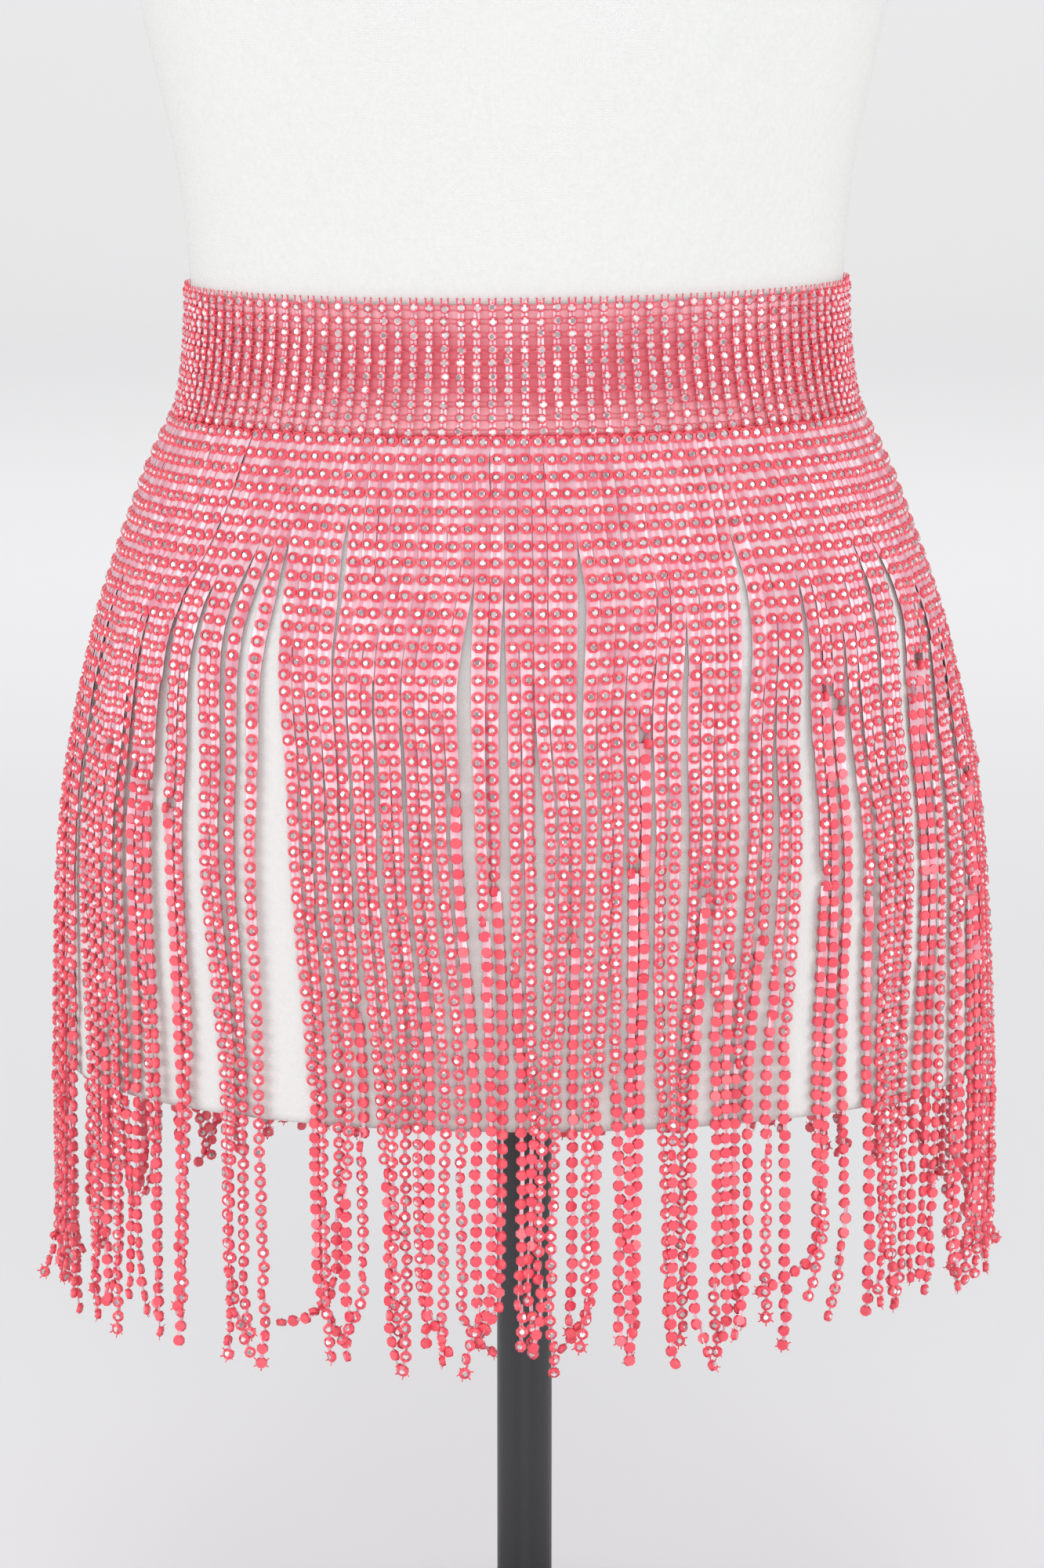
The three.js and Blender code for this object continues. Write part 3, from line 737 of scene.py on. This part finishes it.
# an open claw's foot and tip: how far out from the cup's middle, and how high
OPEN_CLAW_ANGLES = np.arange(30, 390, 60)
OPEN_CLAW_FOOT = (1.7, 1.0)
OPEN_CLAW_TIP = (3.3, 1.9)
OPEN_CLAW_WIDTH = 0.3
OPEN_CLAW_SHARE = 0.6
# near the hem strands cling in bundles of these sizes, drawn together, every second one on top
BUNDLE_SEED = 31
BUNDLE_SIZES = (1, 2, 2, 3, 3, 4)
BUNDLE_SHIFT = 1.3
BUNDLE_DRAW = 1.7
BUNDLE_LIFT = 1.1
BUNDLE_REACH = (230, 350)
WIDE_PARTING = 5.0
# how a strand leaves its straight path: to the side and outwards, in millimetres, each more and
# more between its own two drops
STRAND_SEED = 100
CLING_SPREAD = 0.3
CLING_MOST = 0.6
CLING_REACH = (80, 200)
WANDER_SPREAD = 0.8
WANDER_REACH = (290, 400)
WAVE_LENGTHS = (90, 220)
WAVE_SIZE = 0.25
WAVE_REACH = (120, 220)
LIFT_SPREAD = 0.9
LIFT_REACH = (70, 220)
STRETCH_SPREAD = 0.003
# how its end curls: over what length, by how many degrees a stone to the side and outwards, and how
# far it leans to the side at most, in radians
CURL_LENGTHS = (8, 36)
CURL_SPREAD = 3.0
CURL_STRONG = 13
CURL_STRONG_SHARE = 0.25
CURL_OUT_SPREAD = 2.5
CURL_MOST = 1.2
# how its stones turn, in radians: where the strand is held, more where it is loose, and more again
# at its free end
LOOSE_REACH = (60, 330)
FREE_REACH = (310, 390)
STONE_TURN = (0.05, 0.12, 0.25)
STRAND_TWIST = (0.02, 0.03, 0.08)
STONE_NOD = (0.06, 0.1, 0.0)
FIRST_TWIST = 0.1
# where strands turn right over: the share that do, and between which drops they start to
TURN_OVERS = ((0.42, 130, 330), (0.45, 300, 400))
TURN_OVER_LENGTH = 16
# uneven numbers that scatter whole numbers well, and what each channel of the scatter is for
SCATTER_STEPS = (12.9898, 78.233)
SCATTER_SIZE = 43758.5453
DOES_PART, PARTING_SIZE, PARTING_PLACE, TIP_LENGTH, TIP_OPEN = 1, 2, 3, 4, 5


def scatter(n, channel):
    """Repeatable scatter between 0 and 1 for strand or parting number n."""
    wave = math.sin(n * SCATTER_STEPS[0] + channel * SCATTER_STEPS[1]) * SCATTER_SIZE
    return wave - math.floor(wave)


def between(ends, t):
    """A value a share of the way from one end to the other."""
    return ends[0] + (ends[1] - ends[0]) * t


def smooth_step(start, end, value):
    """0 before the start, 1 past the end, and a smooth rise between them."""
    t = np.clip((value - start) / (end - start), 0.0, 1.0)
    return t * t * (3 - 2 * t)


def narrowed(widths, drop):
    """A width that gets less over stretches of the drop."""
    width, *losses = widths
    for loss, start, end in losses:
        width = width - loss * smooth_step(start, end, drop)
    return width


def parting_width(before, drop):
    """How wide a parting wants to be at a drop, before all of them share the slack."""
    free = smooth_step(*SPREAD_REACH, drop)
    even = EVEN_SPREAD * free + (SEAM_SPREAD * (1 - free) if before in PANEL_ENDS else 0)
    parting = PARTINGS.get(before)
    if parting is None and not FRONT_REACH[0] <= before <= FRONT_REACH[1]:
        if scatter(before, DOES_PART) < PARTING_SHARE:
            opens = between(BACK_OPENS, scatter(before, PARTING_PLACE))
            width = between(BACK_WIDTH, scatter(before, PARTING_SIZE) ** 2)
            parting = (opens, opens + BACK_OPENING, width, STAYS_OPEN)
    if parting is None:
        return even
    opens, full, width, closes = parting
    shut = smooth_step(closes - PARTING_FADE, closes, drop)
    return even + width * smooth_step(opens, full, drop) * (1 - shut)


def strand_shares(drop):
    """Where each strand lies at a drop, as shares of the way round."""
    around = girth(drop, STRAND_OUTWARD + STONE_MIDDLE)
    pitch = min(STRAND_PITCH, around / STRAND_COUNT)
    slack = around / 2 - HALF_COUNT * pitch
    shares = np.empty(STRAND_COUNT)
    for side in (-1, 1):
        widths = [parting_width(k if side < 0 else STRAND_COUNT - k, drop) for k in range(HALF_COUNT)]
        total = sum(widths) + parting_width(HALF_COUNT, drop) / 2
        runs = (np.arange(HALF_COUNT) + 0.5) * pitch + slack * np.cumsum(widths) / total
        if side < 0:
            shares[:HALF_COUNT] = runs / around
        else:
            shares[STRAND_COUNT - 1 - np.arange(HALF_COUNT)] = 1 - runs / around
    return shares


def tip_drop(strand):
    """The drop of a strand's tip: those at the back and a few towards +X are shorter."""
    round_share = abs(strand + 0.5 - HALF_COUNT) / HALF_COUNT
    hem = between((HEM_DROP, BACK_HEM_DROP), smooth_step(*BACK_HEM_REACH, round_share))
    short = smooth_step(*SHORT_REACH, strand) - smooth_step(*SHORT_END, strand)
    return hem - SHORT_RISE * short + HEM_VARIATION * (2 * scatter(strand, TIP_LENGTH) - 1)


def bundle_places():
    """How far each strand is drawn along the belt and lifted out by its bundle near the hem."""
    rng = np.random.default_rng(BUNDLE_SEED)
    drawn, lifted = np.zeros(STRAND_COUNT), np.zeros(STRAND_COUNT)
    first = 0
    while first < STRAND_COUNT:
        last = min(first + int(rng.choice(BUNDLE_SIZES)), STRAND_COUNT)
        for strand in range(first + 1, last):
            if parting_width(strand, HEM_DROP) > WIDE_PARTING:
                last = strand
                break
        members = np.arange(first, last)
        drawn[members] = rng.normal(0, BUNDLE_SHIFT) - (members - members.mean()) * BUNDLE_DRAW
        lifted[members] = ((members - first) % 2) * BUNDLE_LIFT
        first = last
    return drawn, lifted


bundle_drawn, bundle_lifted = bundle_places()
path_drops = np.arange(HEADING_DROP, HEM_DROP + HEM_VARIATION + PATH_STEP, PATH_STEP)
path_points = np.empty((len(path_drops), STRAND_COUNT, 3))
path_right = np.empty_like(path_points)
path_out = np.empty_like(path_points)
for level, drop in enumerate(path_drops):
    settled = smooth_step(HEADING_DROP, SETTLED_DROP, drop)
    lift = between((HEADING_OUTWARD, FACING_OUTWARD), settled)
    path_points[level], path_right[level], path_out[level] = on_form(strand_shares(drop), drop, lift)


def along_path(values, strand, drop):
    """A strand's point or direction at any drop, between the path's levels."""
    at = np.clip((drop - path_drops[0]) / PATH_STEP, 0, len(path_drops) - 1.001)
    k = int(at)
    return values[k, strand] * (1 - at + k) + values[k + 1, strand] * (at - k)


def strand_line(strand, rng):
    """Where the stones of one strand lie, which way is outwards there, and their drops."""
    tip = tip_drop(strand)
    cling = np.clip(rng.normal(0, CLING_SPREAD), -CLING_MOST, CLING_MOST)
    wander = rng.normal(0, WANDER_SPREAD)
    wave_length, wave_start = rng.uniform(*WAVE_LENGTHS), rng.uniform(0, 2 * math.pi)
    lift = abs(rng.normal(0, LIFT_SPREAD))
    curl_start = tip - rng.uniform(*CURL_LENGTHS)
    curl_degrees = rng.normal(0, CURL_SPREAD)
    if rng.random() < CURL_STRONG_SHARE:
        curl_degrees += rng.uniform(-CURL_STRONG, CURL_STRONG)
    curl_rate = math.radians(curl_degrees)
    curl_out = math.radians(rng.normal(0, CURL_OUT_SPREAD))
    stretch = 1 + rng.normal(0, STRETCH_SPREAD)
    places, outs, drops = [], [], []
    drop, lean, lean_out = HEADING_DROP, 0.0, 0.0
    while drop < tip:
        fall = (drop - HEADING_DROP) / (HEM_DROP - HEADING_DROP)
        pitch = between((BEAD_PITCH_TOP, BEAD_PITCH_LOW), fall) * stretch
        right, out = along_path(path_right, strand, drop), along_path(path_out, strand, drop)
        if drop < curl_start:
            wave = WAVE_SIZE * math.sin(2 * math.pi * drop / wave_length + wave_start)
            bundled = smooth_step(*BUNDLE_REACH, drop)
            across = (cling * smooth_step(*CLING_REACH, drop) + wander * smooth_step(*WANDER_REACH, drop)
                      + wave * smooth_step(*WAVE_REACH, drop) + bundle_drawn[strand] * bundled)
            forth = lift * smooth_step(*LIFT_REACH, drop) + bundle_lifted[strand] * bundled
            point = along_path(path_points, strand, drop) + right * across + out * forth
        else:
            lean = max(-CURL_MOST, min(CURL_MOST, lean + curl_rate))
            lean_out += curl_out
            point = point + pitch * np.array((0, 0, -math.cos(lean))) + pitch * (
                right * math.sin(lean) + out * math.sin(lean_out))
        places.append(point)
        outs.append(out)
        drops.append(drop)
        drop += pitch
    return np.array(places), np.array(outs), np.array(drops)


def strand_turns(drops, rng):
    """How far each stone of a strand is turned round it, and how far it nods, in radians."""
    loose, free = smooth_step(*LOOSE_REACH, drops), smooth_step(*FREE_REACH, drops)
    turn_spread, twist_spread, nod_spread = (
        held + more * loose + most * free for held, more, most in (STONE_TURN, STRAND_TWIST, STONE_NOD))
    turn = rng.normal(0, turn_spread)
    turn += rng.normal(0, FIRST_TWIST) + np.cumsum(rng.normal(0, twist_spread))
    for share, first, last in TURN_OVERS:
        if rng.random() < share:
            start = rng.uniform(first, last)
            turn += math.pi * rng.choice((-1, 1)) * smooth_step(start, start + TURN_OVER_LENGTH, drops)
    return turn, rng.normal(0, nod_spread)


def strand_beads(strand):
    """Places and directions of the stones of one strand, from the heading to its free tip."""
    rng = np.random.default_rng(STRAND_SEED + strand)
    places, outs, drops = strand_line(strand, rng)
    _, ups, outs = directions(outs, -np.gradient(places, axis=0))
    turn, nod = strand_turns(drops, rng)
    turned = np.minimum(1.0, 2 * np.sin(turn / 2) ** 2) * smooth_step(HEADING_DROP, TURNED_DROP, drops)
    places = places + outs * (turned * (STRAND_OUTWARD - FACING_OUTWARD))[:, None]
    faces = (outs * np.cos(turn)[:, None] + np.cross(ups, outs) * np.sin(turn)[:, None]
             + ups * nod[:, None])
    return places, drops, *directions(ups, faces), outs


heading_cup = pattern_of(HEADING_SETTING, Pattern.cup)
heading_stone = pattern_of(HEADING_SETTING, Pattern.stone, Pattern.claws)
strand_cup = pattern_of(FRINGE_SETTING, Pattern.cup)
strand_stone = pattern_of(FRINGE_SETTING, Pattern.stone, Pattern.claws)
open_claws = Pattern()
for turn in np.radians(OPEN_CLAW_ANGLES):
    ends = [(reach * math.cos(turn), height, reach * math.sin(turn))
            for reach, height in (OPEN_CLAW_FOOT, OPEN_CLAW_TIP)]
    open_claws.bar(*ends, OPEN_CLAW_WIDTH, OPEN_CLAW_WIDTH, SLOT_CUP)
link = Pattern()
for side in (-LINK_OFFSET, LINK_OFFSET):
    ends = [(side, LINK_HEIGHT, end) for end in (LINK_HALF_LENGTH, -LINK_HALF_LENGTH)]
    link.bar(*ends, LINK_HALF_WIDTH, LINK_RISE, SLOT_BAR)


def fringe_panel(first, count):
    """The batches of one panel's mesh: cups and stones, links between them and open claws."""
    heading, beads, links, tips = [], [], [], []
    for strand in range(first, first + count):
        places, drops, sides, faces, ups, outs = strand_beads(strand)
        broad = sides * narrowed(CUP_WIDTHS, drops)[:, None]
        heading.append([v[:1] for v in (places, sides, faces, ups, broad)])
        beads.append([v[1:] for v in (places, sides, faces, ups, broad)])
        if scatter(strand, TIP_OPEN) < OPEN_CLAW_SHARE:
            tips.append([v[-1:] for v in (places, sides, faces, ups)])
        steps = places[:-1] - places[1:]
        link_sides, link_faces, _ = directions(steps, faces[1:] + outs[1:] * LINK_FLATTER)
        link_sides = link_sides * narrowed(LINK_WIDTHS, drops[1:])[:, None]
        links.append(((places[:-1] + places[1:]) / 2, link_sides, link_faces, steps))
    batches = []
    for group, cup, stone in ((heading, heading_cup, heading_stone), (beads, strand_cup, strand_stone)):
        places, sides, faces, ups, broad = (np.concatenate(v) for v in zip(*group))
        batches += [(cup, places, broad, faces, ups), (stone, places, sides, faces, ups)]
    for part, places in ((link, links), (open_claws, tips)):
        batches.append((part, *(np.concatenate(v) for v in zip(*places))))
    return batches


strip_outward = HEADING_OUTWARD + HEADING_STRIP_LIFT
heading = band_strip("heading_strip", HEADING_STRIP_DROPS, strip_outward, coral)
for (name, count), first in zip(PANELS, PANEL_ENDS):
    panel = joined_mesh(name + "_stones", fringe_panel(first, count))
    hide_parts(name)

# Slide clasp
# Two lacquered brass strips at the middle of the back: the bead of one slides down the channel of
# the other. They are shown closed.
for node_name in ("clasp_socket", "clasp_tongue"):
    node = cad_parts[node_name]
    node.data.materials.clear()
    node.data.materials.append(coral)

# Table, wall and light
# A pale table that curves up into a pale wall far behind. A window on either side, light from
# above and from the front, and a wash on the wall keep the shadows soft. Metres and watts.
FLOOR_PALE = "F5F5F7"
WALL_PALE = "FEFEFF"
FLOOR_FRONT = 7.0
FLOOR_FADE = 0.5
WALL_BACK = 7.5
WALL_TOP = 4.0
SWEEP_RADIUS = 1.0
SWEEP_STEPS = 12
SWEEP_WIDTH = 8.0
ROOM_LIGHT = 0.60
LAMP_AIM = (0, 0, 0.4)

# The paint goes from a little grey on the table by the form to white on the far wall: painted shade near
# the form and painted light far off, for how the light falls.
pale_wall, wall_shader = new_material("matt_pale_wall_paint", {"Roughness": 0.95})
wall_place = add_node(pale_wall, "ShaderNodeTexCoord")
wall_parts = add_node(pale_wall, "ShaderNodeSeparateXYZ", links={"Vector": (wall_place, "Object")})
wall_away = add_node(pale_wall, "ShaderNodeMapRange", {
    "From Min": FLOOR_FADE, "From Max": WALL_BACK - SWEEP_RADIUS,
}, {"Value": (wall_parts, "Y")})
wall_painted_falloff = add_node(pale_wall, "ShaderNodeMixRGB", {
    "Color1": linear(FLOOR_PALE), "Color2": linear(WALL_PALE),
}, {"Fac": (wall_away, "Result")})
feed(pale_wall, wall_shader, "Base Color", wall_painted_falloff, "Color")

profile = [(-FLOOR_FRONT, 0.0), (WALL_BACK - SWEEP_RADIUS, 0.0)]
for turn in np.linspace(0, math.pi / 2, SWEEP_STEPS)[1:]:
    profile.append((WALL_BACK - SWEEP_RADIUS + SWEEP_RADIUS * math.sin(turn),
                    SWEEP_RADIUS * (1 - math.cos(turn))))
profile.append((WALL_BACK, WALL_TOP))
sweep_corners = [(x, y, z) for y, z in profile for x in (-SWEEP_WIDTH, SWEEP_WIDTH)]
sweep_faces = [(2 * i, 2 * i + 1, 2 * i + 3, 2 * i + 2) for i in range(len(profile) - 1)]
sweep_mesh = bpy.data.meshes.new("studio_sweep")
sweep_mesh.from_pydata(sweep_corners, [], sweep_faces)
sweep_mesh.materials.append(pale_wall)
for polygon in sweep_mesh.polygons:
    polygon.use_smooth = True
sweep = bpy.data.objects.new("studio_sweep", sweep_mesh)
bpy.context.scene.collection.objects.link(sweep)

world = bpy.data.worlds.new("soft_room")
world.use_nodes = True
world.node_tree.nodes["Background"].inputs["Color"].default_value = (1.0, 1.0, 1.0, 1.0)
world.node_tree.nodes["Background"].inputs["Strength"].default_value = ROOM_LIGHT
bpy.context.scene.world = world


def add_lamp(name, place, aim, size, power):
    """A broad lamp that the camera doesn't see."""
    lamp = bpy.data.lights.new(name, "AREA")
    lamp.shape = "RECTANGLE"
    lamp.size, lamp.size_y = size
    lamp.energy = power
    piece = bpy.data.objects.new(name, lamp)
    piece.location = place
    piece.rotation_euler = (Vector(aim) - Vector(place)).to_track_quat("-Z", "Y").to_euler()
    piece.visible_camera = False
    bpy.context.scene.collection.objects.link(piece)


add_lamp("window_left", (-2.0, -1.0, 0.8), LAMP_AIM, (1.4, 1.2), 20)
add_lamp("window_right", (2.0, -0.9, 0.8), LAMP_AIM, (1.2, 1.2), 18)
add_lamp("overhead", (0.0, -1.3, 2.2), LAMP_AIM, (0.9, 0.7), 9)
add_lamp("front", (0.1, -2.3, 0.35), (0, 0, 0.3), (0.9, 0.7), 9)
add_lamp("wall_wash", (0.0, 3.0, 3.0), (0, 5.5, 0), (6.0, 2.0), 44)

# The photo's view
# The camera stands 1.75 m from the form's axis, 0.13 m above the belt, and looks down a little.
# Its lens follows from a focal length in pixels of the photo.
CAMERA_SIDE = -0.001
CAMERA_BACK = 1.75
CAMERA_ABOVE_BELT = 0.1315
CAMERA_DOWN = 10.6
FOCAL_PIXELS = 5787.0
PHOTO_HEIGHT = 2000.0
SENSOR = 36.0

camera_data = bpy.data.cameras.new("photo_view")
camera_data.sensor_width = SENSOR
camera_data.sensor_fit = "AUTO"
camera_data.lens = SENSOR * FOCAL_PIXELS / PHOTO_HEIGHT
camera_data.clip_end = 20.0
camera = bpy.data.objects.new("photo_view", camera_data)
camera.location = (CAMERA_SIDE, -CAMERA_BACK, BELT_TOP * MM + CAMERA_ABOVE_BELT)
camera.rotation_euler = (math.radians(90 - CAMERA_DOWN), 0.0, 0.0)
bpy.context.scene.collection.objects.link(camera)
bpy.context.scene.camera = camera
bpy.context.scene.view_settings.view_transform = "Standard"
